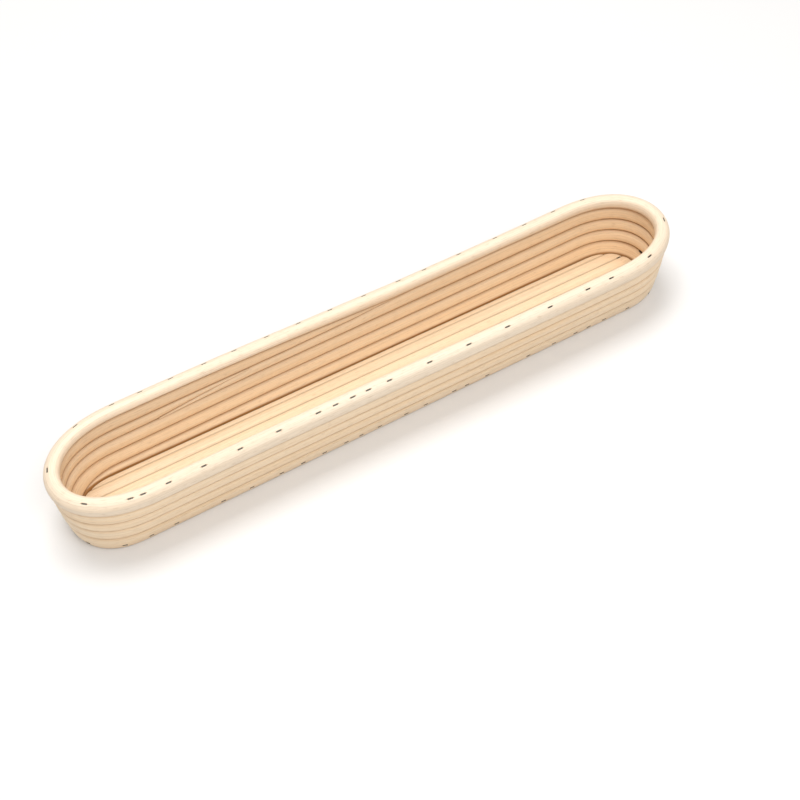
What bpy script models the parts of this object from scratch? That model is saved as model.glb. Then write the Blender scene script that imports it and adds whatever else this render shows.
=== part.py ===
"""Long oval banneton, a bread-proofing basket coiled from rattan cane. Metres, +Z up.

The origin is on the resting plane under the middle of the basket. +X runs along its length
and +Y to its back side. The wall is one helix of cane on a foot that is ground flat; it
climbs from left to right along the back and from right to left along the front. A thicker
cane bent into a hoop is the rim, straight cane strips are the floor, and steel brads hold
the rim to the wall and the wall to the floor.
"""
import math

import bmesh
import bpy
from mathutils import Matrix, Vector

# Outer size of the wall at the resting plane, and the total height
FOOT_LENGTH = 0.4392
FOOT_WIDTH = 0.0612
HEIGHT = 0.0539

# How far the wall leans out for each metre of height, and its swell at half height
END_FLARE = 0.1048
SIDE_FLARE = 0.1493
WALL_SWELL = 0.0012

# The round ends: their reach along X over the half width, and how gently they leave the
# straight sides, where 2 is an ellipse
END_REACH_FOOT = 1.25
END_REACH_RIM = 1.59
END_POWER = 2.5

# The basket wanders this far sideways at the rim, to the back on the left, as hand work does
RIM_SWAY = 0.0010

# Cane of the wall
CANE_THICKNESS = 0.0071
COIL_PITCH = 0.0098
SEAM_TILT = 0.15
GAP = 0.0003
FEATHER = 0.0005
TIP_STEP = FEATHER + GAP
TIP_RUN = 0.0015
EDGE_INSET = 0.0008
EDGE_ROUND = 0.0014
FOOT_ROUND = 0.0028

# Inside of a cane, as shares of its thickness and height: where its rounding starts and ends
INNER_EDGE = 0.84
INNER_SHOULDER = 0.97
INNER_EASE = 0.12
FOOT_EDGE = 0.92

# Shares of one turn: each straight side, and where the wall climbs within a turn
SIDE_SHARE = 0.34
CLIMB_AT = ((0.0, 0.0), (0.17, 0.33), (SIDE_SHARE, 0.52), (0.5, 0.55), (0.5 + SIDE_SHARE, 0.60),
            (1.0, 1.0))
SIDE_STEPS = 8
END_STEPS = 12

# The helix in turns, counted from the left end of the back side
COIL_START = -0.07
JOINT_START = 3.029
JOINT_END = 3.091
COIL_END = 4.213
COIL_END_TAPER = 0.045
FIRST_SEAM = 0.0079

# The last turns of the wall are drawn down a little tighter than the rest
TIGHTER_AT = ((2.3, 0.0), (2.6, 0.0004), (2.95, 0.0015), (3.01, 0.0023), (3.084, 0.0028),
              (3.12, 0.0028), (3.16, 0.0019), (3.3, 0.0012), (4.2, 0.0020))

# Rim hoop: height of its underside and drop of its crown round the basket, its thickness,
# how far it stands out from the wall, where its ends meet, and the length of its cane
RIM_SEAT_AT = ((0.0, 0.0463), (0.06, 0.0465), (0.12, 0.0455), (0.20, 0.0433), (0.29, 0.0447),
               (SIDE_SHARE, 0.0445), (0.5, 0.0426), (0.5 + SIDE_SHARE, 0.0428), (1.0, 0.0463))
CROWN_DROP_AT = ((0.0, 0.0), (0.08, 0.0003), (0.20, 0.0013), (0.30, 0.0003), (SIDE_SHARE, 0.0))
RIM_THICKNESS = 0.0102
RIM_OUTSET = 0.0010
RIM_JOINT = 0.117
RIM_JOINT_SLANT = 0.008
RIM_LENGTH = 0.98

# Floor strips, of which the outer ones on each side take the tips of the brads
STRIP_COUNT = 7
STRIP_PITCH = 0.0082
STRIP_LOW = 0.0006
STRIP_EDGE = 0.0032
STRIP_CROWN = 0.0043
STRIPS_BRADDED = 2

# Brads: chisel-pointed shank with a narrow T head, sunk under the surface
BRAD_LENGTH = 0.0120
SHANK_WIDTH = 0.0012
SHANK_DEPTH = 0.0007
HEAD_WIDTH = 0.0030
HEAD_DEPTH = 0.0009
HEAD_HEIGHT = 0.0005
HEAD_SUNK = 0.0003
BRAD_CLEARANCE = 0.0003
RIM_BRAD_INSET = 0.0036
RIM_BRAD_DROP = 0.00035
FOOT_BRAD_HEIGHT = 0.0055
FOOT_BRAD_SLOPE_DEGREES = 18.0

# Brads driven by eye, as distances along X from the middle in millimetres
RIM_BRADS_FRONT = (-213, -187, -179, -162, -139, -115, -89, -62, -50, -38, -27, -12, 17, 46,
                   75, 108, 138, 157, 192, 223)
RIM_BRADS_BACK = (-223, -195, -168, -149, -128, -105, -84, -61, -38, -15, 10, 36, 56, 83, 112,
                  136, 160, 185)
FOOT_BRADS_FRONT = (-163, -111, -59, -18, 49, 98, 161)
FOOT_BRADS_BACK = (-150, -75, 0, 75, 150)

CANE_COLOR = (0.80, 0.60, 0.38, 1.0)
RIM_COLOR = (0.84, 0.66, 0.44, 1.0)
FLOOR_COLOR = (0.78, 0.56, 0.34, 1.0)
STEEL_COLOR = (0.16, 0.16, 0.17, 1.0)


def clear_scene():
    for thing in list(bpy.data.objects):
        bpy.data.objects.remove(thing, do_unlink=True)


def make_collection(name):
    group = bpy.data.collections.new(name)
    bpy.context.scene.collection.children.link(group)
    return group


def make_material(name, color, roughness, metallic):
    material = bpy.data.materials.new(name)
    material.use_nodes = True
    shader = material.node_tree.nodes["Principled BSDF"]
    shader.inputs["Base Color"].default_value = color
    shader.inputs["Roughness"].default_value = roughness
    shader.inputs["Metallic"].default_value = metallic
    return material


def interpolate(table, value):
    """Straight-line reading of a table of (position, value) pairs."""
    if value <= table[0][0]:
        return table[0][1]
    for (p0, v0), (p1, v1) in zip(table, table[1:]):
        if value <= p1:
            return v0 + (v1 - v0) * (value - p0) / (p1 - p0)
    return table[-1][1]


def half_sizes(z):
    """Half length, half width and reach of the round ends of the wall's outside at height z."""
    swell = WALL_SWELL * 4.0 * (z / HEIGHT) * (1.0 - z / HEIGHT)
    half_length = FOOT_LENGTH / 2 + END_FLARE * z + swell
    half_width = FOOT_WIDTH / 2 + SIDE_FLARE * z + swell
    reach = half_width * (END_REACH_FOOT + (END_REACH_RIM - END_REACH_FOOT) * z / HEIGHT)
    return half_length, half_width, reach


def wall_point(turn, z, inset):
    """A point in the wall: share of a turn, height, and distance in from the outside."""
    share = turn % 1.0
    half_length, half_width, reach = half_sizes(z)
    straight = half_length - reach
    half_width -= inset
    reach -= inset
    facing = 1.0 if share < 0.5 else -1.0
    share %= 0.5
    if share < SIDE_SHARE:
        x = straight * (2.0 * share / SIDE_SHARE - 1.0)
        y = half_width
    else:
        angle = math.pi * (share - SIDE_SHARE) / (0.5 - SIDE_SHARE)
        x = straight + reach * math.sin(angle) ** (2.0 / END_POWER)
        y = half_width * math.cos(angle)
    x *= facing
    y *= facing
    sway = -RIM_SWAY * (z / HEIGHT) * math.sin(2.0 * math.pi * x / FOOT_LENGTH)
    tilt = SEAM_TILT * min(1.0, z / COIL_PITCH)
    return Vector((x, y + sway, z + inset * tilt))


def share_at(x, z, front):
    """Share of a turn at which the wall passes x, on its back or its front."""
    half_length, half_width, reach = half_sizes(z)
    straight = half_length - reach
    if abs(x) <= straight:
        share = SIDE_SHARE * (1.0 + x / straight) / 2.0
    else:
        bend = min(1.0, (abs(x) - straight) / reach) ** (END_POWER / 2.0)
        turned = (0.5 - SIDE_SHARE) * math.asin(bend) / math.pi
        share = SIDE_SHARE + turned if x > 0.0 else -turned
    return (0.5 + SIDE_SHARE - share if front else share) % 1.0


def stations(start, end, tips=()):
    """Places along the helix: few on the straight sides, more on the ends, two at each tip."""
    grid = [SIDE_SHARE * i / SIDE_STEPS for i in range(SIDE_STEPS)]
    grid += [SIDE_SHARE + (0.5 - SIDE_SHARE) * i / END_STEPS for i in range(END_STEPS)]
    grid += [0.5 + share for share in grid]
    turns = range(math.floor(start), math.ceil(end))
    between = [turn + share for turn in turns for share in grid]
    fixed = [start, end]
    for tip in tips:
        fixed += [tip, tip - TIP_RUN, tip + TIP_RUN]
    margin = 0.003
    free = [t for t in between if all(abs(t - f) > margin for f in fixed)]
    return sorted(t for t in free + fixed if start <= t <= end)


def rim_seat(turn):
    return interpolate(RIM_SEAT_AT, turn % 1.0)


def seam(turn):
    """Height of the seam on top of the course that passes this place on the helix."""
    if turn < COIL_START:
        return 0.0
    if turn < 0.0:
        return FIRST_SEAM + (TIP_STEP - FIRST_SEAM) * turn / COIL_START
    whole = math.floor(turn)
    climb = interpolate(CLIMB_AT, turn - whole)
    return FIRST_SEAM + COIL_PITCH * (whole + climb) - interpolate(TIGHTER_AT, turn)


def course_low(turn):
    """Underside of a course: the resting plane on the first turn, then the seam below."""
    low = seam(turn - 1.0)
    taper_from = COIL_END - COIL_END_TAPER
    if turn > taper_from:
        share = (turn - taper_from) / COIL_END_TAPER
        low += (rim_seat(turn) - TIP_STEP - low) * share
    return low


def course_top(turn):
    """Top of a course: the seam above it, or the rim where the seam would pass it."""
    top = min(seam(turn), rim_seat(turn))
    if turn + 1.0 > COIL_END:
        return rim_seat(turn)
    if turn + 1.0 > COIL_END - COIL_END_TAPER:
        return course_low(turn + 1.0)
    return top


def joint_seam(turn):
    """Height of the slanting cut between the two lengths of wall cane."""
    low = course_low(turn) + TIP_STEP
    top = course_top(turn) - TIP_STEP
    return low + (top - low) * (turn - JOINT_START) / (JOINT_END - JOINT_START)


def cane_ring(turn, low, top):
    """Section of wall cane: flat outside with eased edges, rounded inside, flat foot."""
    low += GAP / 2 if low > 0.0 else 0.0
    top = max(top - GAP / 2, low + FEATHER)
    height = top - low
    ease = min(EDGE_ROUND, height * 0.3)
    on_foot = max(0.0, 1.0 - low / FIRST_SEAM)
    foot_inset = CANE_THICKNESS * (INNER_EDGE + (FOOT_EDGE - INNER_EDGE) * on_foot)
    foot_side = CANE_THICKNESS * (INNER_SHOULDER + (1.0 - INNER_SHOULDER) * on_foot)
    foot_rise = height * INNER_EASE * (1.0 - on_foot) + EDGE_INSET * on_foot
    foot_round = min(FOOT_ROUND, height * 0.35) * on_foot
    section = [
        (EDGE_INSET + foot_round * 0.6, low),
        (foot_round * 0.25, low + max(ease * (1.0 - on_foot), foot_round * 0.45)),
        (0.0, low + ease + foot_round),
        (0.0, top - ease),
        (EDGE_INSET, top),
        (CANE_THICKNESS * INNER_EDGE, top),
        (CANE_THICKNESS * INNER_SHOULDER, top - height * INNER_EASE),
        (CANE_THICKNESS, low + height * 0.5),
        (foot_side, low + min(foot_rise, height * 0.3)),
        (foot_inset, low),
    ]
    return [wall_point(turn, z, inset) for inset, z in section]


def rim_crown(turn):
    """Height of the rim's crown before the seams' tilt lifts it."""
    lift = SEAM_TILT * (RIM_THICKNESS / 2 - RIM_OUTSET)
    return HEIGHT - lift - interpolate(CROWN_DROP_AT, turn % 1.0)


def rim_ring(turn, low):
    """Section of the rim hoop: flat underside and a rounded crown."""
    crown = rim_crown(turn)
    foot = low + GAP / 2
    section = [
        (0.0012, foot),
        (0.0, foot + 0.0016),
        (0.0, crown - 0.0046),
        (0.0005, crown - 0.0027),
        (0.0017, crown - 0.0012),
        (RIM_BRAD_INSET, crown - RIM_BRAD_DROP),
        (RIM_THICKNESS / 2, crown),
        (RIM_THICKNESS - 0.0027, crown - 0.0005),
        (RIM_THICKNESS - 0.0010, crown - 0.0018),
        (RIM_THICKNESS, crown - 0.0044),
        (RIM_THICKNESS - 0.0002, foot + 0.0016),
        (RIM_THICKNESS - 0.0014, foot),
    ]
    return section


def loft(name, rings, group):
    """A closed solid through rings of equal point count, capped at both ends."""
    mesh = bpy.data.meshes.new(name)
    shape = bmesh.new()
    loops = [[shape.verts.new(point) for point in ring] for ring in rings]
    count = len(loops[0])
    for near, far in zip(loops, loops[1:]):
        for i in range(count):
            j = (i + 1) % count
            shape.faces.new((near[i], near[j], far[j], far[i]))
    shape.faces.new(loops[0][::-1])
    shape.faces.new(loops[-1])
    bmesh.ops.recalc_face_normals(shape, faces=shape.faces)
    shape.to_mesh(mesh)
    shape.free()
    thing = bpy.data.objects.new(name, mesh)
    group.objects.link(thing)
    return thing


def finish_piece(thing, material, crease_degrees=40.0):
    thing.data.materials.append(material)
    thing.data.shade_smooth()
    thing.data.set_sharp_from_angle(angle=math.radians(crease_degrees))


def make_lower_coil(group):
    """First length of wall cane: feathered start on the foot, scarf end under its neighbour."""
    rings = []
    tips = (1.0 + COIL_START, JOINT_START)
    for turn in stations(COIL_START, JOINT_END, tips):
        low = course_low(turn)
        if turn >= JOINT_START:
            low = joint_seam(turn)
        rings.append(cane_ring(turn, low, course_top(turn)))
    return loft("wall_coil_lower", rings, group)


def make_upper_coil(group):
    """Second length of wall cane: scarf start, and a long feathered end under the rim."""
    rings = []
    tips = (JOINT_END, COIL_END - 1.0)
    for turn in stations(JOINT_START, COIL_END, tips):
        top = course_top(turn)
        if turn <= JOINT_END:
            top = joint_seam(turn)
        rings.append(cane_ring(turn, course_low(turn), top))
    return loft("wall_coil_upper", rings, group)


def make_rim(group):
    """The rim hoop, whose two ends meet at a cut that slants across its thickness."""
    gap_share = GAP / RIM_LENGTH
    slant_share = RIM_JOINT_SLANT / RIM_LENGTH
    rings = []
    places = stations(RIM_JOINT + gap_share, RIM_JOINT + 1.0)
    for place in places:
        ring = []
        at_end = place in (places[0], places[-1])
        for inset, z in rim_ring(place, rim_seat(place)):
            slant = slant_share * (inset / RIM_THICKNESS - 0.5) if at_end else 0.0
            ring.append(wall_point(place + slant, z, inset - RIM_OUTSET))
        rings.append(ring)
    return loft("rim_hoop", rings, group)


def make_strip(index, group):
    """One floor strip: a straight cane with a low crown, longer than the floor."""
    middle = (index - (STRIP_COUNT - 1) / 2) * STRIP_PITCH
    half = (STRIP_PITCH - GAP) / 2
    section = [
        (-half, STRIP_LOW),
        (half, STRIP_LOW),
        (half, STRIP_EDGE),
        (half * 0.6, STRIP_EDGE + (STRIP_CROWN - STRIP_EDGE) * 0.7),
        (0.0, STRIP_CROWN),
        (-half * 0.6, STRIP_EDGE + (STRIP_CROWN - STRIP_EDGE) * 0.7),
        (-half, STRIP_EDGE),
    ]
    rings = [[(x, middle + y, z) for y, z in section] for x in (-FOOT_LENGTH / 2, FOOT_LENGTH / 2)]
    return loft("floor_strip_%d" % (index + 1), rings, group)


def make_floor_outline(group):
    """Upright prism inside the bottom course, to which the floor strips are trimmed."""
    low = STRIP_LOW - 0.002
    high = STRIP_CROWN + 0.002
    rings = []
    for z in (low, high):
        ring = [wall_point(turn, 0.0, CANE_THICKNESS + GAP) for turn in stations(0.0, 1.0)]
        rings.append([(point.x, point.y, z) for point in ring[:-1]])
    return loft("floor_outline", rings, group)


def brad_shape(shape, frame, grow, above):
    """Adds one brad to a bmesh. Local +Z points out of its head, whose top is at the origin."""
    made = bmesh.ops.create_cube(shape, size=1.0)
    verts = made["verts"]
    length = BRAD_LENGTH - HEAD_HEIGHT
    for vert in verts:
        vert.co.x *= SHANK_WIDTH + 2 * grow
        vert.co.y *= SHANK_DEPTH + 2 * grow
        if vert.co.z > 0.0:
            vert.co.z = -HEAD_HEIGHT - grow
        else:
            vert.co.z = -HEAD_HEIGHT - length - grow
    shape.normal_update()
    top = [face for face in {f for v in verts for f in v.link_faces} if face.normal.z > 0.9]
    for width, depth, height in (
        (HEAD_WIDTH + 2 * grow, HEAD_DEPTH + 2 * grow, -HEAD_HEIGHT - grow),
        (HEAD_WIDTH + 2 * grow, HEAD_DEPTH + 2 * grow, above),
    ):
        lifted = bmesh.ops.extrude_face_region(shape, geom=top)["geom"]
        bmesh.ops.delete(shape, geom=top, context="FACES_ONLY")
        rim = [item for item in lifted if isinstance(item, bmesh.types.BMVert)]
        top = [item for item in lifted if isinstance(item, bmesh.types.BMFace)]
        for vert in rim:
            vert.co.x = math.copysign(width / 2, vert.co.x)
            vert.co.y = math.copysign(depth / 2, vert.co.y)
            vert.co.z = height
        verts = verts + rim
    bmesh.ops.transform(shape, matrix=frame, verts=verts)


def brad_frame(head, outward, along):
    """Placing of a brad: head position, direction out of the head, direction of the T."""
    z_axis = outward.normalized()
    y_axis = z_axis.cross(along).normalized()
    x_axis = y_axis.cross(z_axis)
    turned = Matrix((x_axis, y_axis, z_axis)).transposed().to_4x4()
    return Matrix.Translation(head) @ turned


def direction_along(turn, z):
    """Level direction of the cane at a place on the wall."""
    step = 0.004
    along = wall_point(turn + step, z, 0.0) - wall_point(turn - step, z, 0.0)
    along.z = 0.0
    return along.normalized()


def rim_brad_frame(turn):
    """A brad driven down into the rim, along the lean of the wall."""
    inset = RIM_BRAD_INSET - RIM_OUTSET
    surface = wall_point(turn, rim_crown(turn) - RIM_BRAD_DROP, inset)
    below = wall_point(turn, HEIGHT - BRAD_LENGTH, inset + 0.0007)
    along = direction_along(turn, HEIGHT)
    outward = surface - below
    outward = (outward - along * outward.dot(along)).normalized()
    return brad_frame(surface - outward * HEAD_SUNK, outward, along)


def foot_brad_frame(turn):
    """A brad driven inwards and down through the bottom course into the floor."""
    surface = wall_point(turn, FOOT_BRAD_HEIGHT, 0.0)
    inner = wall_point(turn, FOOT_BRAD_HEIGHT, CANE_THICKNESS)
    outward = surface - inner
    outward.z = 0.0
    outward.normalize()
    outward.z = math.tan(math.radians(FOOT_BRAD_SLOPE_DEGREES))
    outward.normalize()
    along = direction_along(turn, FOOT_BRAD_HEIGHT)
    return brad_frame(surface - outward * HEAD_SUNK, outward, along)


def brad_turns(front, back, z):
    turns = [share_at(x / 1000.0, z, True) for x in front]
    return turns + [share_at(x / 1000.0, z, False) for x in back]


def make_brad(name, frame, group, material):
    mesh = bpy.data.meshes.new(name)
    shape = bmesh.new()
    brad_shape(shape, Matrix.Identity(4), 0.0, 0.0)
    shape.to_mesh(mesh)
    shape.free()
    mesh.materials.append(material)
    thing = bpy.data.objects.new(name, mesh)
    thing.matrix_world = frame
    group.objects.link(thing)
    return thing


def make_holes(name, frames, group):
    """One cutter with the holes of a row of brads, open at the heads."""
    mesh = bpy.data.meshes.new(name)
    shape = bmesh.new()
    for frame in frames:
        brad_shape(shape, frame, BRAD_CLEARANCE, 0.004)
    shape.to_mesh(mesh)
    shape.free()
    thing = bpy.data.objects.new(name, mesh)
    group.objects.link(thing)
    return thing


def cut(thing, cutter, operation):
    step = thing.modifiers.new(cutter.name, "BOOLEAN")
    step.operation = operation
    step.solver = "EXACT"
    step.object = cutter


def hide_cutter(thing):
    thing.hide_render = True
    thing.display_type = "WIRE"


def main():
    clear_scene()
    parts = make_collection("banneton_basket")
    cutters = make_collection("cutters")
    cane = make_material("wall_cane", CANE_COLOR, 0.55, 0.0)
    rim_cane = make_material("rim_cane", RIM_COLOR, 0.50, 0.0)
    floor_cane = make_material("floor_cane", FLOOR_COLOR, 0.60, 0.0)
    steel = make_material("brad_steel", STEEL_COLOR, 0.45, 1.0)

    rim_turns = brad_turns(RIM_BRADS_FRONT, RIM_BRADS_BACK, HEIGHT)
    foot_turns = brad_turns(FOOT_BRADS_FRONT, FOOT_BRADS_BACK, FOOT_BRAD_HEIGHT)
    rim_frames = [rim_brad_frame(turn) for turn in rim_turns]
    foot_frames = [foot_brad_frame(turn) for turn in foot_turns]
    rim_holes = make_holes("rim_brad_holes", rim_frames, cutters)
    foot_holes = make_holes("foot_brad_holes", foot_frames, cutters)
    floor_outline = make_floor_outline(cutters)
    for cutter in (rim_holes, foot_holes, floor_outline):
        hide_cutter(cutter)

    lower_coil = make_lower_coil(parts)
    finish_piece(lower_coil, cane)
    cut(lower_coil, foot_holes, "DIFFERENCE")
    cut(lower_coil, rim_holes, "DIFFERENCE")
    upper_coil = make_upper_coil(parts)
    finish_piece(upper_coil, cane)
    cut(upper_coil, rim_holes, "DIFFERENCE")
    rim = make_rim(parts)
    finish_piece(rim, rim_cane)
    cut(rim, rim_holes, "DIFFERENCE")
    for index in range(STRIP_COUNT):
        strip = make_strip(index, parts)
        finish_piece(strip, floor_cane)
        cut(strip, floor_outline, "INTERSECT")
        if min(index, STRIP_COUNT - 1 - index) < STRIPS_BRADDED:
            cut(strip, foot_holes, "DIFFERENCE")
    for number, frame in enumerate(rim_frames, 1):
        make_brad("rim_brad_%02d" % number, frame, parts, steel)
    for number, frame in enumerate(foot_frames, 1):
        make_brad("foot_brad_%02d" % number, frame, parts, steel)


main()
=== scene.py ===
"""Long oval banneton of coiled rattan cane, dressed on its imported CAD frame. Metres, +Z up.

The origin is on the resting plane under the middle of the basket, +X along its length and +Y
to its back side. The canes are rebuilt here with fine sections, fibres and hand-made wander
in the shapes of their CAD nodes; the brads of the CAD stay and get a worn steel finish. More
brads of the foot, and two inside the basket, are added here as visual pieces.
"""
import math

import bmesh
import bpy
import numpy as np
from mathutils import Matrix, Vector, noise


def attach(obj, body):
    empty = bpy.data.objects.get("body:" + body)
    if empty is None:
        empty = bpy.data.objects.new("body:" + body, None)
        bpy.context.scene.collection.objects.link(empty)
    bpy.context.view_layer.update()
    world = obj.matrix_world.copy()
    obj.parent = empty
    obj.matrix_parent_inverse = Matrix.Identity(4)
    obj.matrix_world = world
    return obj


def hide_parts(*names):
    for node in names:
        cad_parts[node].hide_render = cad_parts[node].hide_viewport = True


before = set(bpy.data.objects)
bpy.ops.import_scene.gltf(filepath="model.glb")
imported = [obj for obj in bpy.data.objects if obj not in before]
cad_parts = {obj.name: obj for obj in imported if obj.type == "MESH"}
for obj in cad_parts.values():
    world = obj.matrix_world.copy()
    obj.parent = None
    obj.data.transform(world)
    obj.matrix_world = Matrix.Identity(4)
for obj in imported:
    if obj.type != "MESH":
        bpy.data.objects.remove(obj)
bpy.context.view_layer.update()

# Outside of the wall, as in the CAD
FOOT_LENGTH = 0.4392
FOOT_WIDTH = 0.0612
HEIGHT = 0.0539
END_FLARE = 0.1048
SIDE_FLARE = 0.1493
WALL_SWELL = 0.0012
END_REACH_FOOT = 1.25
END_REACH_RIM = 1.59
END_POWER = 2.5
RIM_SWAY = 0.0010

# Wall cane and its helix, as in the CAD
CANE_THICKNESS = 0.0071
COIL_PITCH = 0.0098
SEAM_TILT = 0.15
SIDE_SHARE = 0.34
CLIMB_AT = ((0.0, 0.0), (0.17, 0.33), (SIDE_SHARE, 0.52), (0.5, 0.55), (0.5 + SIDE_SHARE, 0.60),
            (1.0, 1.0))
COIL_START = -0.07
JOINT_START = 3.029
JOINT_END = 3.091
COIL_END = 4.213
COIL_END_TAPER = 0.045
FIRST_SEAM = 0.0079
TIGHTER_AT = ((2.3, 0.0), (2.6, 0.0004), (2.95, 0.0015), (3.01, 0.0023), (3.084, 0.0028),
              (3.12, 0.0028), (3.16, 0.0019), (3.3, 0.0012), (4.2, 0.0020))
RIM_SEAT_AT = ((0.0, 0.0463), (0.06, 0.0465), (0.12, 0.0455), (0.20, 0.0433), (0.29, 0.0447),
               (SIDE_SHARE, 0.0445), (0.5, 0.0426), (0.5 + SIDE_SHARE, 0.0428), (1.0, 0.0463))
CROWN_DROP_AT = ((0.0, 0.0), (0.08, 0.0003), (0.20, 0.0013), (0.30, 0.0003), (SIDE_SHARE, 0.0))
RIM_THICKNESS = 0.0102
RIM_OUTSET = 0.0010
RIM_JOINT = 0.117
RIM_JOINT_SLANT = 0.008
RIM_LENGTH = 0.98

# Finish of the canes: how close they lie, how their edges are eased, how they wander
GAP = 0.00008
FEATHER = 0.0004
TIP_STEP = FEATHER + GAP
TIP_RUN = 0.0015
EDGE_INSET = 0.0011
EDGE_ROUND = 0.0026
FOOT_ROUND = 0.0028
INNER_EDGE = 0.78
INNER_SHOULDER = 0.955
INNER_EASE = 0.19
FOOT_EDGE = 0.92
TURN_STEP = 0.0025
SEAM_WANDER = 0.00022
FACE_WANDER = 0.00016
INNER_WANDER = 0.00028

# How far painted shade reaches up the rim from its underside, and up the inside wall from the floor
RIM_SHADE_REACH = 0.0014
FLOOR_SHADE = 0.0030

# Floor strips: their run and section, and the gaps beside them
STRIP_COUNT = 7
STRIP_PITCH = 0.0082
STRIP_LOW = 0.0006
STRIP_CROWN = 0.0043
STRIP_STEP = 0.003
STRIP_GAP = 0.00002
FLOOR_GAP = 0.00012

# Brads: the ones of the CAD, and how far their holes reach round them and split the cane
BRAD_LENGTH = 0.0120
SHANK_WIDTH = 0.0012
SHANK_DEPTH = 0.0007
HEAD_WIDTH = 0.0030
HEAD_DEPTH = 0.0009
HEAD_HEIGHT = 0.0005
HEAD_SUNK = 0.0003
HOLE_CLEARANCE = 0.00006
HOLE_SPLIT = 0.0009
RIM_BRAD_INSET = 0.0036
RIM_BRAD_DROP = 0.00035
FOOT_BRAD_HEIGHT = 0.0055
FOOT_BRAD_SLOPE_DEGREES = 18.0

# Brads along X in millimetres, as in the CAD, and then the ones that only the finish has
RIM_BRADS_FRONT = (-213, -187, -179, -162, -139, -115, -89, -62, -50, -38, -27, -12, 17, 46,
                   75, 108, 138, 157, 192, 223)
RIM_BRADS_BACK = (-223, -195, -168, -149, -128, -105, -84, -61, -38, -15, 10, 36, 56, 83, 112,
                  136, 160, 185)
FOOT_BRADS_FRONT = (-163, -111, -59, -18, 49, 98, 161)
FOOT_BRADS_BACK = (-150, -75, 0, 75, 150)
MORE_FOOT_BRADS_FRONT = (-216, -197, -180, -131, -90, -74.5, -43, -32, 2, 17, 39, 65, 119, 137,
                         148, 181, 203, 217)
MORE_FOOT_BRADS_BACK = (-214, -196, -172, -128, -104, -52, -27, 24, 50, 101, 126, 173, 195, 213)

# Two brads seen from the inside at the right end: in the lowest seam, and in the floor
INNER_BRAD_TURN = 0.418
INNER_BRAD_LENGTH = 0.0056
FLOOR_BRAD_AT = (0.2060, 0.0123)
FLOOR_BRAD_LENGTH = 0.0030
FLOOR_BRAD_SUNK = 0.0006

# Tones of the canes: light, deep, and the painted shade in their seams
WALL_TONES = ((0.97, 0.79, 0.575, 1), (0.94, 0.705, 0.46, 1), (0.43, 0.21, 0.07, 1))
RIM_TONES = ((0.93, 0.795, 0.63, 1), (0.91, 0.74, 0.555, 1), (0.48, 0.28, 0.14, 1))
FLOOR_TONES = ((0.92, 0.75, 0.55, 1), (0.89, 0.68, 0.45, 1), (0.60, 0.50, 0.35, 1))

# Studio: name, place, size, watts and colour of each light, then the sky, ground and camera
LIGHTS = (
    ("key_above", (0.00, 0.45, 1.95), (1.1, 0.8), 25.0, (1.0, 0.985, 0.965)),
    ("front_above", (-0.15, -1.15, 1.85), (1.5, 0.9), 23.0, (1.0, 0.985, 0.965)),
)
SKY_COLOR = (1.0, 0.99, 0.98, 1.0)
SKY_STRENGTH = 0.42
GROUND_SIZE = 8.0
GROUND_DROP = 0.00005
CAMERA_AT = (-0.2657, -0.4982, 0.6997)
CAMERA_RIGHT = (0.86079, -0.50871, -0.01608)
CAMERA_UP = (0.40762, 0.67013, 0.62029)
LENS_MM = 60.3
SENSOR_MM = 36.0


def interpolate(table, value):
    """Straight-line reading of a table of (position, value) pairs."""
    if value <= table[0][0]:
        return table[0][1]
    for (p0, v0), (p1, v1) in zip(table, table[1:]):
        if value <= p1:
            return v0 + (v1 - v0) * (value - p0) / (p1 - p0)
    return table[-1][1]


def wander(place, row):
    """Smooth hand-made unevenness from -1 to 1; each row is another run of it."""
    return noise.noise(Vector((place, row * 7.31, row * 2.17)))


def half_sizes(z):
    """Half length, half width and reach of the round ends of the wall's outside at height z."""
    swell = WALL_SWELL * 4.0 * (z / HEIGHT) * (1.0 - z / HEIGHT)
    half_length = FOOT_LENGTH / 2 + END_FLARE * z + swell
    half_width = FOOT_WIDTH / 2 + SIDE_FLARE * z + swell
    reach = half_width * (END_REACH_FOOT + (END_REACH_RIM - END_REACH_FOOT) * z / HEIGHT)
    return half_length, half_width, reach


def wall_point(turn, z, inset):
    """A point in the wall: share of a turn, height, and distance in from the outside."""
    share = turn % 1.0
    half_length, half_width, reach = half_sizes(z)
    straight = half_length - reach
    half_width -= inset
    reach -= inset
    facing = 1.0 if share < 0.5 else -1.0
    share %= 0.5
    if share < SIDE_SHARE:
        x = straight * (2.0 * share / SIDE_SHARE - 1.0)
        y = half_width
    else:
        angle = math.pi * (share - SIDE_SHARE) / (0.5 - SIDE_SHARE)
        x = straight + reach * math.sin(angle) ** (2.0 / END_POWER)
        y = half_width * math.cos(angle)
    x *= facing
    y *= facing
    sway = -RIM_SWAY * (z / HEIGHT) * math.sin(2.0 * math.pi * x / FOOT_LENGTH)
    tilt = SEAM_TILT * min(1.0, z / COIL_PITCH)
    return Vector((x, y + sway, z + inset * tilt))


def share_at(x, z, front):
    """Share of a turn at which the wall passes x, on its back or its front."""
    half_length, _, reach = half_sizes(z)
    straight = half_length - reach
    if abs(x) <= straight:
        share = SIDE_SHARE * (1.0 + x / straight) / 2.0
    else:
        bend = min(1.0, (abs(x) - straight) / reach) ** (END_POWER / 2.0)
        turned = (0.5 - SIDE_SHARE) * math.asin(bend) / math.pi
        share = SIDE_SHARE + turned if x > 0.0 else -turned
    return (0.5 + SIDE_SHARE - share if front else share) % 1.0


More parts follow.
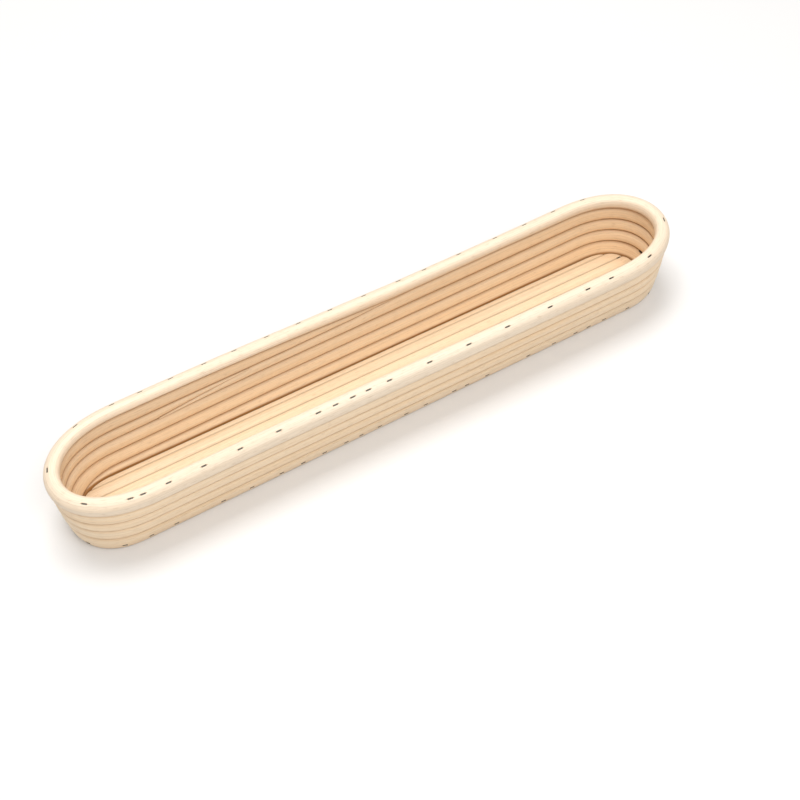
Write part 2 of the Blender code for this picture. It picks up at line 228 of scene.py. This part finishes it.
def stations(start, end, tips=()):
    """Even places along the helix, and two beside each tip."""
    count = math.ceil((end - start) / TURN_STEP)
    even = [start + (end - start) * i / count for i in range(count + 1)]
    near_tips = [tip + side for tip in tips for side in (-TIP_RUN, 0.0, TIP_RUN)]
    kept = [t for t in even if all(abs(t - n) > TURN_STEP * 0.3 for n in near_tips)]
    return sorted(kept + [t for t in near_tips if start < t < end])


def rim_seat(turn):
    """Height of the rim's underside round the basket."""
    share = turn % 1.0
    return interpolate(RIM_SEAT_AT, share) + SEAM_WANDER * 0.5 * wander(share * 9.0, 40)


def seam(turn):
    """Height of the seam on top of the course that passes this place on the helix."""
    if turn < COIL_START:
        return 0.0
    if turn < 0.0:
        return FIRST_SEAM + (TIP_STEP - FIRST_SEAM) * turn / COIL_START
    whole = math.floor(turn)
    climb = interpolate(CLIMB_AT, turn - whole)
    even = FIRST_SEAM + COIL_PITCH * (whole + climb) - interpolate(TIGHTER_AT, turn)
    return even + SEAM_WANDER * wander(turn * 9.0, 1) * min(1.0, turn * 8.0)


def course_low(turn):
    """Underside of a course: the resting plane on the first turn, then the seam below."""
    low = seam(turn - 1.0)
    taper_from = COIL_END - COIL_END_TAPER
    if turn > taper_from:
        share = (turn - taper_from) / COIL_END_TAPER
        low += (rim_seat(turn) - TIP_STEP - low) * share
    return low


def course_top(turn):
    """Top of a course: the seam above it, or the rim where the seam would pass it."""
    if turn + 1.0 > COIL_END:
        return rim_seat(turn)
    if turn + 1.0 > COIL_END - COIL_END_TAPER:
        return course_low(turn + 1.0)
    return min(seam(turn), rim_seat(turn))


def joint_seam(turn):
    """Height of the slanting cut between the two lengths of wall cane."""
    low = course_low(turn) + TIP_STEP
    top = course_top(turn) - TIP_STEP
    return low + (top - low) * (turn - JOINT_START) / (JOINT_END - JOINT_START)


def cane_section(low, top):
    """Section of wall cane: flat outside with eased edges, rounded inside, flat foot."""
    low += GAP / 2 if low > 0.0 else 0.0
    top = max(top - GAP / 2, low + FEATHER)
    height = top - low
    ease = min(EDGE_ROUND, height * 0.3)
    on_foot = max(0.0, 1.0 - low / FIRST_SEAM)
    foot_inset = CANE_THICKNESS * (INNER_EDGE + (FOOT_EDGE - INNER_EDGE) * on_foot)
    foot_side = CANE_THICKNESS * (INNER_SHOULDER + (1.0 - INNER_SHOULDER) * on_foot)
    foot_rise = height * INNER_EASE * (1.0 - on_foot) + EDGE_INSET * on_foot
    foot_round = min(FOOT_ROUND, height * 0.35) * on_foot
    return [
        (EDGE_INSET + foot_round * 0.6, low),
        (foot_round * 0.25, low + max(ease * (1.0 - on_foot), foot_round * 0.45)),
        (0.0, low + ease + foot_round),
        (0.0, top - ease),
        (EDGE_INSET, top),
        (CANE_THICKNESS * INNER_EDGE, top),
        (CANE_THICKNESS * INNER_SHOULDER, top - height * INNER_EASE),
        (CANE_THICKNESS, low + height * 0.5),
        (foot_side, low + min(foot_rise, height * 0.3)),
        (foot_inset, low),
    ]


def rim_crown(turn):
    """Height of the rim's crown before the seams' tilt lifts it."""
    lift = SEAM_TILT * (RIM_THICKNESS / 2 - RIM_OUTSET)
    return HEIGHT - lift - interpolate(CROWN_DROP_AT, turn % 1.0)


def rim_section(turn):
    """Section of the rim hoop: flat underside and a rounded crown."""
    crown = rim_crown(turn)
    foot = rim_seat(turn) + GAP / 2
    return [
        (0.0012, foot),
        (0.0, foot + 0.0016),
        (0.0, crown - 0.0046),
        (0.0005, crown - 0.0027),
        (0.0017, crown - 0.0012),
        (RIM_BRAD_INSET, crown - RIM_BRAD_DROP),
        (RIM_THICKNESS / 2, crown),
        (RIM_THICKNESS - 0.0027, crown - 0.0005),
        (RIM_THICKNESS - 0.0010, crown - 0.0018),
        (RIM_THICKNESS, crown - 0.0044),
        (RIM_THICKNESS - 0.0002, foot + 0.0016),
        (RIM_THICKNESS - 0.0014, foot),
    ]


def strip_section(middle):
    """Section of a floor strip, as (y, z), with a low crown, trimmed to the wall's inside."""
    half = (STRIP_PITCH - STRIP_GAP) / 2
    shape = [(-1.0, 0.0), (0.0, 0.0), (1.0, 0.0), (1.0, 0.72), (0.88, 0.88), (0.5, 0.98),
             (0.0, 1.0), (-0.5, 0.98), (-0.88, 0.88), (-1.0, 0.72)]
    height = STRIP_CROWN - STRIP_LOW
    section = rounded([(middle + half * y, STRIP_LOW + height * z) for y, z in shape])
    reach = half_sizes(0.0)[1] - CANE_THICKNESS - FLOOR_GAP
    trimmed = []
    for y, z in section:
        point = (max(-reach, min(reach, y)), z)
        if not trimmed or math.dist(point, trimmed[-1]) > GAP:
            trimmed.append(point)
    return np.array(trimmed)


def rounded(section, rounds=2):
    """Closed outline with its corners cut off a quarter of the way along, several times."""
    points = np.array(section)
    for _ in range(rounds):
        following = np.roll(points, -1, axis=0)
        near = points * 0.75 + following * 0.25
        far = points * 0.25 + following * 0.75
        points = np.stack([near, far], axis=1).reshape(-1, 2)
    return points


def loft(name, rings, edges, starts_at=0.0):
    """A closed solid through rings of points, mapped along its length and round its section.

    The map "cane" holds metres along and metres around; the map "place" holds a mask of painted
    shade, which is mostly how close a point is to the edge of its cane, and how far in it is from
    the outside of the basket.
    """
    rings = np.array(rings)
    edges = np.array(edges)
    count, sides = rings.shape[:2]
    middles = rings.mean(axis=1)
    along = starts_at + np.append(0.0, np.cumsum(np.linalg.norm(np.diff(middles, axis=0), axis=1)))
    spans = np.linalg.norm(np.roll(rings, -1, axis=1) - rings, axis=2)
    around = np.concatenate([np.zeros((count, 1)), np.cumsum(spans, axis=1)], axis=1)
    around = np.broadcast_to(around.mean(axis=0), around.shape)

    faces = []
    cane_map = []
    place_map = []
    for r in range(count - 1):
        for i in range(sides):
            j = (i + 1) % sides
            faces.append((r * sides + i, r * sides + j, (r + 1) * sides + j, (r + 1) * sides + i))
            for row, column, corner in ((r, i, i), (r, i + 1, j), (r + 1, i + 1, j), (r + 1, i, i)):
                cane_map.append((along[row], around[row][column]))
                place_map.append(edges[row][corner])
    for r, order in ((0, range(sides - 1, -1, -1)), (count - 1, range(sides))):
        faces.append([r * sides + i for i in order])
        for i in order:
            cane_map.append((along[r], around[r][i]))
            place_map.append(edges[r][i])

    mesh = bpy.data.meshes.new(name)
    mesh.from_pydata(rings.reshape(-1, 3).tolist(), [], faces)
    for map_name, values in (("cane", cane_map), ("place", place_map)):
        layer = mesh.uv_layers.new(name=map_name)
        layer.data.foreach_set("uv", np.array(values, dtype=np.float32).ravel())
    ends = np.zeros(len(faces), dtype=np.int32)
    ends[-2:] = 1
    mesh.polygons.foreach_set("material_index", ends)
    shape = bmesh.new()
    shape.from_mesh(mesh)
    bmesh.ops.recalc_face_normals(shape, faces=shape.faces)
    shape.to_mesh(mesh)
    shape.free()
    thing = bpy.data.objects.new(name, mesh)
    bpy.context.scene.collection.objects.link(thing)
    return thing


def helix_loft(name, places, section_at, thickness, rows, outset=0.0, slant=0.0, crowned=False):
    """Sweeps a section round the basket, with wander on its outside and inside faces.

    The faces only wander into the cane, and the inside not at all beside the floor. Each point
    also gets a mask of painted shade: along both seams of a wall cane, only along the underside
    of a crowned cane, and on the inside of the wall just above the floor.
    """
    rings = []
    edges = []
    for place in places:
        section = rounded(section_at(place))
        low = section[:, 1].min()
        high = section[:, 1].max()
        length_place = place * 11.0
        out = FACE_WANDER * (wander(length_place, rows) + 0.7 * wander(place * 1.3, rows + 1))
        inner = INNER_WANDER * (wander(length_place, rows + 2) + wander(place * 2.1, rows + 3))
        at_end = place in (places[0], places[-1])
        ring = []
        edge = []
        for inset, z in section:
            share = inset / thickness
            eased = min(0.0, inner) * min(1.0, max(0.0, z / STRIP_CROWN - 1.0))
            moved = inset + abs(out) * (1.0 - share) + eased * share
            shift = slant * (share - 0.5) if at_end else 0.0
            ring.append(wall_point(place + shift, z, moved - outset))
            # Mask of painted shade: at the seams, under a crowned cane, and inside the wall by the
            # floor
            level = 2.0 * (z - low) / (high - low) - 1.0
            under_rim_shade = min(1.0, max(0.0, 2.0 * RIM_SHADE_REACH / (high - low) - level))
            shade_by_floor = 1.0 - max(0.0, z - STRIP_CROWN) / FLOOR_SHADE if share > 0.5 else 0.0
            edge.append((under_rim_shade if crowned else max(abs(level), shade_by_floor), share))
        rings.append(ring)
        edges.append(edge)
    return loft(name, rings, edges)


def make_lower_coil():
    """First length of the wall's cane, from the foot to the end of its scarf."""
    tips = (1.0 + COIL_START, JOINT_START)

    def section_at(turn):
        low = joint_seam(turn) if turn >= JOINT_START else course_low(turn)
        return cane_section(low, course_top(turn))

    places = stations(COIL_START, JOINT_END, tips)
    return helix_loft("wall_cane_lower", places, section_at, CANE_THICKNESS, 2)


def make_upper_coil():
    """Second length of the wall's cane, from the scarf to its feathered end under the rim."""
    tips = (JOINT_END, COIL_END - 1.0)

    def section_at(turn):
        top = joint_seam(turn) if turn <= JOINT_END else course_top(turn)
        return cane_section(course_low(turn), top)

    places = stations(JOINT_START, COIL_END, tips)
    return helix_loft("wall_cane_upper", places, section_at, CANE_THICKNESS, 12)


def make_rim():
    """The rim's hoop, whose ends meet at a slanting cut."""
    gap_share = GAP * 2 / RIM_LENGTH
    slant = RIM_JOINT_SLANT / RIM_LENGTH
    places = stations(RIM_JOINT + gap_share, RIM_JOINT + 1.0)
    return helix_loft("rim_cane", places, rim_section, RIM_THICKNESS, 22, RIM_OUTSET, slant, True)


def floor_reach(y):
    """How far the floor runs to either end at a distance y from the middle line."""
    half_length, half_width, reach = half_sizes(0.0)
    inset = CANE_THICKNESS + FLOOR_GAP
    straight = half_length - reach
    across = min(1.0, abs(y) / (half_width - inset + GAP))
    angle = math.acos(across)
    return straight + (reach - inset) * math.sin(angle) ** (2.0 / END_POWER)


def make_strip(index):
    """One floor strip of split cane, its ends cut to the curve of the wall."""
    middle = (index - (STRIP_COUNT - 1) / 2) * STRIP_PITCH
    section = strip_section(middle)
    low, high = section[:, 1].min(), section[:, 1].max()
    steps = math.ceil(FOOT_LENGTH / STRIP_STEP)
    width = section[:, 0].max() - section[:, 0].min()
    centre = (section[:, 0].max() + section[:, 0].min()) / 2
    rings = []
    edges = []
    for step in range(steps + 1):
        along = 2.0 * step / steps - 1.0
        lift = 0.00012 * wander(along * 6.0, 50 + index)
        ring = []
        edge = []
        for y, z in section:
            share = (z - low) / (high - low)
            x = along * floor_reach(y)
            ring.append((x, y, z + lift * share))
            # First value: closeness to the strip's edge, where painted shade darkens the gaps
            # between strips
            edge.append((min(1.0, abs(y - centre) / (width / 2)), 0.5 + 0.5 * share))
        rings.append(ring)
        edges.append(edge)
    return loft("floor_cane_%d" % (index + 1), rings, edges, starts_at=index * 1.7 + 5.0)


def brad_outline(half_width, half_depth, point, height):
    """Corners of a brad's section; a point lengthens it to a tip at either end."""
    corners = [Vector((side * half_width, depth * half_depth, height))
               for side, depth in ((-1, -1), (1, -1), (1, 1), (-1, 1))]
    if point > 0.0:
        corners.insert(2, Vector((half_width + point, 0.0, height)))
        corners.append(Vector((-half_width - point, 0.0, height)))
    return corners


def brad_shape(shape, placing, grow, split, above, length):
    """Adds one T-headed brad to a bmesh, or its hole, whose head end splits along the cane.

    Local +Z points out of the head, and the middle of its top is the origin.
    """
    under = -HEAD_HEIGHT - grow
    shank = (SHANK_WIDTH / 2 + grow, SHANK_DEPTH / 2 + grow, split * 0.3)
    head = (HEAD_WIDTH / 2 + grow, HEAD_DEPTH / 2 + grow, split)
    levels = ((shank, -length - grow), (shank, under), (head, under), (head, above))
    rings = [[shape.verts.new(placing @ corner) for corner in brad_outline(*size, height)]
             for size, height in levels]
    count = len(rings[0])
    for low, high in zip(rings, rings[1:]):
        for i in range(count):
            j = (i + 1) % count
            shape.faces.new((low[i], low[j], high[j], high[i]))
    shape.faces.new(rings[0][::-1])
    shape.faces.new(rings[-1])


def brad_frame(head, outward, along):
    """Placing of a brad: head position, direction out of the head, direction of the T."""
    z_axis = outward.normalized()
    y_axis = z_axis.cross(along).normalized()
    x_axis = y_axis.cross(z_axis)
    turned = Matrix((x_axis, y_axis, z_axis)).transposed().to_4x4()
    return Matrix.Translation(head) @ turned


def direction_along(turn, z):
    """Level direction of the cane at a place on the wall."""
    step = 0.004
    along = wall_point(turn + step, z, 0.0) - wall_point(turn - step, z, 0.0)
    along.z = 0.0
    return along.normalized()


def rim_brad_frame(turn):
    """A brad driven down into the rim, along the lean of the wall."""
    inset = RIM_BRAD_INSET - RIM_OUTSET
    surface = wall_point(turn, rim_crown(turn) - RIM_BRAD_DROP, inset)
    below = wall_point(turn, HEIGHT - BRAD_LENGTH, inset + 0.0007)
    along = direction_along(turn, HEIGHT)
    outward = surface - below
    outward = (outward - along * outward.dot(along)).normalized()
    return brad_frame(surface - outward * HEAD_SUNK, outward, along)


def foot_brad_frame(turn):
    """A brad driven inwards and down through the bottom course into the floor."""
    surface = wall_point(turn, FOOT_BRAD_HEIGHT, 0.0)
    inner = wall_point(turn, FOOT_BRAD_HEIGHT, CANE_THICKNESS)
    outward = surface - inner
    outward.z = 0.0
    outward.normalize()
    outward.z = math.tan(math.radians(FOOT_BRAD_SLOPE_DEGREES))
    outward.normalize()
    along = direction_along(turn, FOOT_BRAD_HEIGHT)
    return brad_frame(surface - outward * HEAD_SUNK, outward, along)


def brad_turns(front, back, z):
    """Places round the wall of brads given along X in millimetres, front and back."""
    turns = [share_at(x / 1000.0, z, True) for x in front]
    return turns + [share_at(x / 1000.0, z, False) for x in back]


def inner_brad_frame(turn):
    """A brad driven out through the lowest seam of the wall, from the inside."""
    height = seam(turn)
    inner = wall_point(turn, height, CANE_THICKNESS)
    outward = inner - wall_point(turn, height, 0.0)
    outward.z = 0.0
    outward.normalize()
    return brad_frame(inner - outward * HEAD_SUNK, outward, direction_along(turn, height))


def floor_brad_frame():
    """A clipped brad standing in a seam of the floor, close to one end."""
    head = Vector((FLOOR_BRAD_AT[0], FLOOR_BRAD_AT[1], STRIP_CROWN - FLOOR_BRAD_SUNK))
    return brad_frame(head, Vector((0.0, 0.0, 1.0)), Vector((1.0, 0.0, 0.0)))


def make_brads(name, frames, length=BRAD_LENGTH, grow=0.0, split=0.0, above=0.0):
    """One mesh with a row of brads, or with the holes that they sit in."""
    mesh = bpy.data.meshes.new(name)
    shape = bmesh.new()
    for placing in frames:
        brad_shape(shape, placing, grow, split, above, length)
    bmesh.ops.recalc_face_normals(shape, faces=shape.faces)
    shape.to_mesh(mesh)
    shape.free()
    thing = bpy.data.objects.new(name, mesh)
    bpy.context.scene.collection.objects.link(thing)
    return thing


def cut_holes(thing, frames, length=BRAD_LENGTH):
    """Takes the brads' holes out of a cane and keeps the result as its mesh."""
    cutter = make_brads(thing.name + "_holes", frames, length, HOLE_CLEARANCE, HOLE_SPLIT, 0.003)
    step = thing.modifiers.new("holes", "BOOLEAN")
    step.operation = "DIFFERENCE"
    step.solver = "EXACT"
    step.object = cutter
    bpy.context.view_layer.update()
    seen = thing.evaluated_get(bpy.context.evaluated_depsgraph_get())
    mesh = bpy.data.meshes.new_from_object(seen)
    thing.modifiers.remove(step)
    old = thing.data
    thing.data = mesh
    bpy.data.meshes.remove(old)
    bpy.data.objects.remove(cutter)


def smooth(thing, crease_degrees=50.0):
    """Smooth shading, with edges sharper than the crease kept."""
    thing.data.shade_smooth()
    thing.data.set_sharp_from_angle(angle=math.radians(crease_degrees))


class Graph:
    """Short ways to add and join the nodes of one material."""

    def __init__(self, name):
        self.material = bpy.data.materials.new(name)
        self.material.use_nodes = True
        self.tree = self.material.node_tree
        self.shader = self.tree.nodes["Principled BSDF"]

    def add(self, kind, inputs=None, **settings):
        made = self.tree.nodes.new(kind)
        for key, value in settings.items():
            setattr(made, key, value)
        for key, value in (inputs or {}).items():
            self.feed(made.inputs[key], value)
        return made

    def feed(self, socket, value):
        if isinstance(value, bpy.types.NodeSocket):
            self.tree.links.new(value, socket)
        else:
            socket.default_value = value

    def math(self, operation, first, second=0.0, clamp=False):
        made = self.add("ShaderNodeMath", {0: first, 1: second}, operation=operation)
        made.use_clamp = clamp
        return made.outputs[0]

    def span(self, value, low, high, to_low=0.0, to_high=1.0):
        ends = {"Value": value, "From Min": low, "From Max": high,
                "To Min": to_low, "To Max": to_high}
        return self.add("ShaderNodeMapRange", ends).outputs[0]

    def mix(self, share, first, second, blend="MIX"):
        made = self.add("ShaderNodeMix", data_type="RGBA", blend_type=blend)
        self.feed(made.inputs[0], share)
        self.feed(made.inputs[6], first)
        self.feed(made.inputs[7], second)
        return made.outputs[2]

    def grain(self, vector, along, around, shift, detail=3.0, rough=0.6):
        """Noise drawn out along the cane: features per metre along it and around it."""
        placed = self.add("ShaderNodeMapping", {"Vector": vector, "Location": (shift, shift, 0.0),
                                                "Scale": (along, around, 1.0)})
        made = self.add("ShaderNodeTexNoise", {"Vector": placed.outputs[0], "Scale": 1.0,
                                               "Detail": detail, "Roughness": rough},
                        noise_dimensions="2D")
        return made.outputs[0]


# crisp and soft: how dark the painted seam shade is inside the basket, as a thin line and a wide
# band
def cane_material(name, tones, roughness, seed, crisp=0.95, soft=0.05):
    """Peeled rattan: lengthwise fibres and pores, drifting tone, and painted shade beside the
    seams.

    The outside of the basket is painted slightly darker than its inside, as painted shade. The
    painted shade of the seams inside is a crisp dark line and a soft wide one.
    """
    light, deep, seam_shade_color = tones
    g = Graph(name)
    cane = g.add("ShaderNodeUVMap", uv_map="cane").outputs[0]
    place = g.add("ShaderNodeSeparateXYZ", {0: g.add("ShaderNodeUVMap", uv_map="place").outputs[0]})
    edge = place.outputs[0]

    tone = g.grain(cane, 3.1, 35.0, seed)
    band = g.grain(cane, 5.0, 420.0, seed + 3.0)
    streak = g.grain(cane, 9.0, 1500.0, seed + 7.0)
    fine = g.grain(cane, 60.0, 4800.0, seed + 11.0, 2.0)
    dashes = g.grain(cane, 150.0, 2600.0, seed + 17.0, 1.0, 0.4)

    share = g.math("ADD", g.span(tone, 0.3, 0.7, 0.0, 0.55), g.span(band, 0.35, 0.65, 0.0, 0.45))
    color = g.mix(share, light, deep)
    streaks = g.span(streak, 0.30, 0.62, 0.91, 1.03)
    fibres = g.span(fine, 0.3, 0.7, 0.95, 1.02)
    pores = g.span(dashes, 0.66, 0.76, 0.0, 1.0)
    shade = g.math("MULTIPLY", streaks, fibres)
    grey = g.add("ShaderNodeCombineColor", {0: shade, 1: shade, 2: shade}).outputs[0]
    color = g.mix(1.0, color, grey, "MULTIPLY")
    color = g.mix(g.math("MULTIPLY", pores, 0.3), color, (0.50, 0.31, 0.16, 1.0))
    # Painted shade: the outside of the wall is darkened a little, towards its outer face
    outside_shade = g.span(place.outputs[1], 0.15, 0.60, 0.92, 1.0)
    outside_shade_color = g.add("ShaderNodeCombineColor", {0: outside_shade, 1: outside_shade, 2: outside_shade}).outputs[0]
    color = g.mix(1.0, color, outside_shade_color, "MULTIPLY")
    # Painted shade in the seams: a thin dark line at the cane's edge and a wider soft band
    beside = g.math("POWER", edge, 6.0)
    inside = g.span(place.outputs[1], 0.2, 0.8, 0.26, crisp)
    beside = g.math("MULTIPLY", beside, inside)
    wide = g.span(place.outputs[1], 0.2, 0.8, 0.14, soft)
    wide = g.math("MULTIPLY", g.math("POWER", edge, 4.0), wide)
    seam_shade = g.math("ADD", beside, wide, clamp=True)
    color = g.mix(seam_shade, color, seam_shade_color)
    g.feed(g.shader.inputs["Base Color"], color)

    rough = g.math("ADD", g.span(band, 0.3, 0.7, roughness - 0.06, roughness + 0.08),
                   g.math("MULTIPLY", pores, 0.15))
    g.feed(g.shader.inputs["Roughness"], rough)
    height = g.math("ADD", g.math("MULTIPLY", streak, 0.9), g.math("MULTIPLY", fine, 0.35))
    height = g.math("SUBTRACT", height, g.math("MULTIPLY", pores, 0.45))
    bump = g.add("ShaderNodeBump", {"Strength": 0.45, "Distance": 0.00035, "Height": height})
    g.feed(g.shader.inputs["Normal"], bump.outputs[0])
    g.shader.inputs["Specular IOR Level"].default_value = 0.38
    return g.material


def end_material(name):
    """Cut end of a cane: a tight field of round vessels in darker pith."""
    g = Graph(name)
    spot = g.add("ShaderNodeTexCoord").outputs["Object"]
    cells = g.add("ShaderNodeTexVoronoi", {"Vector": spot, "Scale": 2300.0})
    pores = g.span(cells.outputs[0], 0.12, 0.32, 1.0, 0.0)
    color = g.mix(pores, (0.66, 0.44, 0.25, 1.0), (0.20, 0.11, 0.05, 1.0))
    g.feed(g.shader.inputs["Base Color"], color)
    bump = g.add("ShaderNodeBump", {"Strength": 0.5, "Distance": 0.0002,
                                    "Height": cells.outputs[0]})
    g.feed(g.shader.inputs["Normal"], bump.outputs[0])
    g.shader.inputs["Roughness"].default_value = 0.8
    return g.material


def steel_material():
    """Blued steel wire, dulled and specked with tarnish."""
    g = Graph("brad_steel_worn")
    spot = g.add("ShaderNodeTexCoord").outputs["Object"]
    patches = g.add("ShaderNodeTexNoise", {"Vector": spot, "Scale": 900.0, "Detail": 4.0})
    worn = g.span(patches.outputs[0], 0.42, 0.62)
    color = g.mix(worn, (0.055, 0.048, 0.04, 1.0), (0.16, 0.14, 0.12, 1.0))
    g.feed(g.shader.inputs["Base Color"], color)
    g.feed(g.shader.inputs["Roughness"], g.span(patches.outputs[0], 0.35, 0.65, 0.38, 0.62))
    g.shader.inputs["Metallic"].default_value = 0.85
    return g.material


def floor_material():
    """Matt, nearly white ground, very slightly uneven in tone."""
    g = Graph("studio_floor")
    spot = g.add("ShaderNodeTexCoord").outputs["Object"]
    patches = g.add("ShaderNodeTexNoise", {"Vector": spot, "Scale": 3.0, "Detail": 2.0})
    color = g.mix(patches.outputs[0], (0.79, 0.79, 0.795, 1.0), (0.82, 0.818, 0.815, 1.0))
    g.feed(g.shader.inputs["Base Color"], color)
    g.shader.inputs["Roughness"].default_value = 0.75
    return g.material


def dress(thing, materials, slot_name, *nodes):
    """Gives a piece its materials and its body, and hides the CAD nodes that it stands for."""
    thing.data.materials.clear()
    for material in materials:
        thing.data.materials.append(material)
    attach(thing, "root")
    if nodes:
        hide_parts(*nodes)


def make_basket():
    """Builds the canes, cuts the holes of the brads, and dresses every piece."""
    wall = cane_material("wall_cane_peeled", WALL_TONES, 0.50, 0.0)
    rim_finish = cane_material("rim_cane_peeled", RIM_TONES, 0.46, 41.0)
    # The floor's seams get their own strengths of painted shade
    floor_finish = cane_material("floor_cane_split", FLOOR_TONES, 0.54, 83.0, 0.50, 0.28)
    cut_end = end_material("cane_cut_end")
    steel = steel_material()

    rim_turns = brad_turns(RIM_BRADS_FRONT, RIM_BRADS_BACK, HEIGHT)
    foot_turns = brad_turns(FOOT_BRADS_FRONT, FOOT_BRADS_BACK, FOOT_BRAD_HEIGHT)
    more_turns = brad_turns(MORE_FOOT_BRADS_FRONT, MORE_FOOT_BRADS_BACK, FOOT_BRAD_HEIGHT)
    rim_frames = [rim_brad_frame(turn) for turn in rim_turns]
    foot_frames = [foot_brad_frame(turn) for turn in foot_turns]
    more_frames = [foot_brad_frame(turn) for turn in more_turns]

    lower = make_lower_coil()
    upper = make_upper_coil()
    rim = make_rim()
    cut_holes(lower, foot_frames + more_frames + rim_frames)
    inner_frame = inner_brad_frame(INNER_BRAD_TURN)
    floor_frame = floor_brad_frame()
    cut_holes(lower, [inner_frame], INNER_BRAD_LENGTH)
    cut_holes(upper, rim_frames)
    cut_holes(rim, rim_frames)
    for thing in (lower, upper, rim):
        smooth(thing)
    dress(lower, (wall, cut_end), "wall_cane", "wall_coil_lower")
    dress(upper, (wall, cut_end), "wall_cane", "wall_coil_upper")
    dress(rim, (rim_finish, cut_end), "rim_cane", "rim_hoop")

    for index in range(STRIP_COUNT):
        strip = make_strip(index)
        cut_holes(strip, foot_frames + more_frames)
        cut_holes(strip, [floor_frame], FLOOR_BRAD_LENGTH)
        smooth(strip)
        dress(strip, (floor_finish, cut_end), "floor_cane", "floor_strip_%d" % (index + 1))

    more = make_brads("foot_brads_added", more_frames)
    dress(more, (steel,), "brad_steel")
    inner = make_brads("wall_brad_inside", [inner_frame], INNER_BRAD_LENGTH)
    dress(inner, (steel,), "brad_steel")
    on_floor = make_brads("floor_brad_inside", [floor_frame], FLOOR_BRAD_LENGTH)
    dress(on_floor, (steel,), "brad_steel")
    for name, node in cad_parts.items():
        if name.startswith(("rim_brad", "foot_brad")):
            node.material_slots[0].material = steel


def make_stage():
    """Plain pale ground, soft sky and two large lights."""
    bpy.ops.mesh.primitive_plane_add(size=GROUND_SIZE, location=(0.0, 0.0, -GROUND_DROP))
    ground = bpy.context.object
    ground.name = "studio_floor"
    ground.data.materials.append(floor_material())

    world = bpy.data.worlds.new("studio")
    bpy.context.scene.world = world
    world.use_nodes = True
    background = world.node_tree.nodes["Background"]
    background.inputs["Color"].default_value = SKY_COLOR
    background.inputs["Strength"].default_value = SKY_STRENGTH

    for name, place, size, watts, color in LIGHTS:
        lamp = bpy.data.lights.new(name, "AREA")
        lamp.shape = "RECTANGLE"
        lamp.size, lamp.size_y = size
        lamp.energy = watts
        lamp.color = color
        thing = bpy.data.objects.new(name, lamp)
        thing.location = place
        thing.rotation_mode = "QUATERNION"
        thing.rotation_quaternion = (-Vector(place)).to_track_quat("-Z", "Y")
        bpy.context.scene.collection.objects.link(thing)


def make_camera():
    """Camera at the viewing angle of the basket, with its long perspective."""
    right = Vector(CAMERA_RIGHT)
    up = Vector(CAMERA_UP)
    turned = Matrix((right, up, right.cross(up))).transposed().to_4x4()
    lens = bpy.data.cameras.new("camera")
    lens.sensor_width = SENSOR_MM
    lens.lens = LENS_MM
    camera = bpy.data.objects.new("camera", lens)
    camera.matrix_world = Matrix.Translation(CAMERA_AT) @ turned
    bpy.context.scene.collection.objects.link(camera)
    bpy.context.scene.camera = camera


make_basket()
make_stage()
make_camera()
bpy.context.scene.view_settings.view_transform = "Standard"
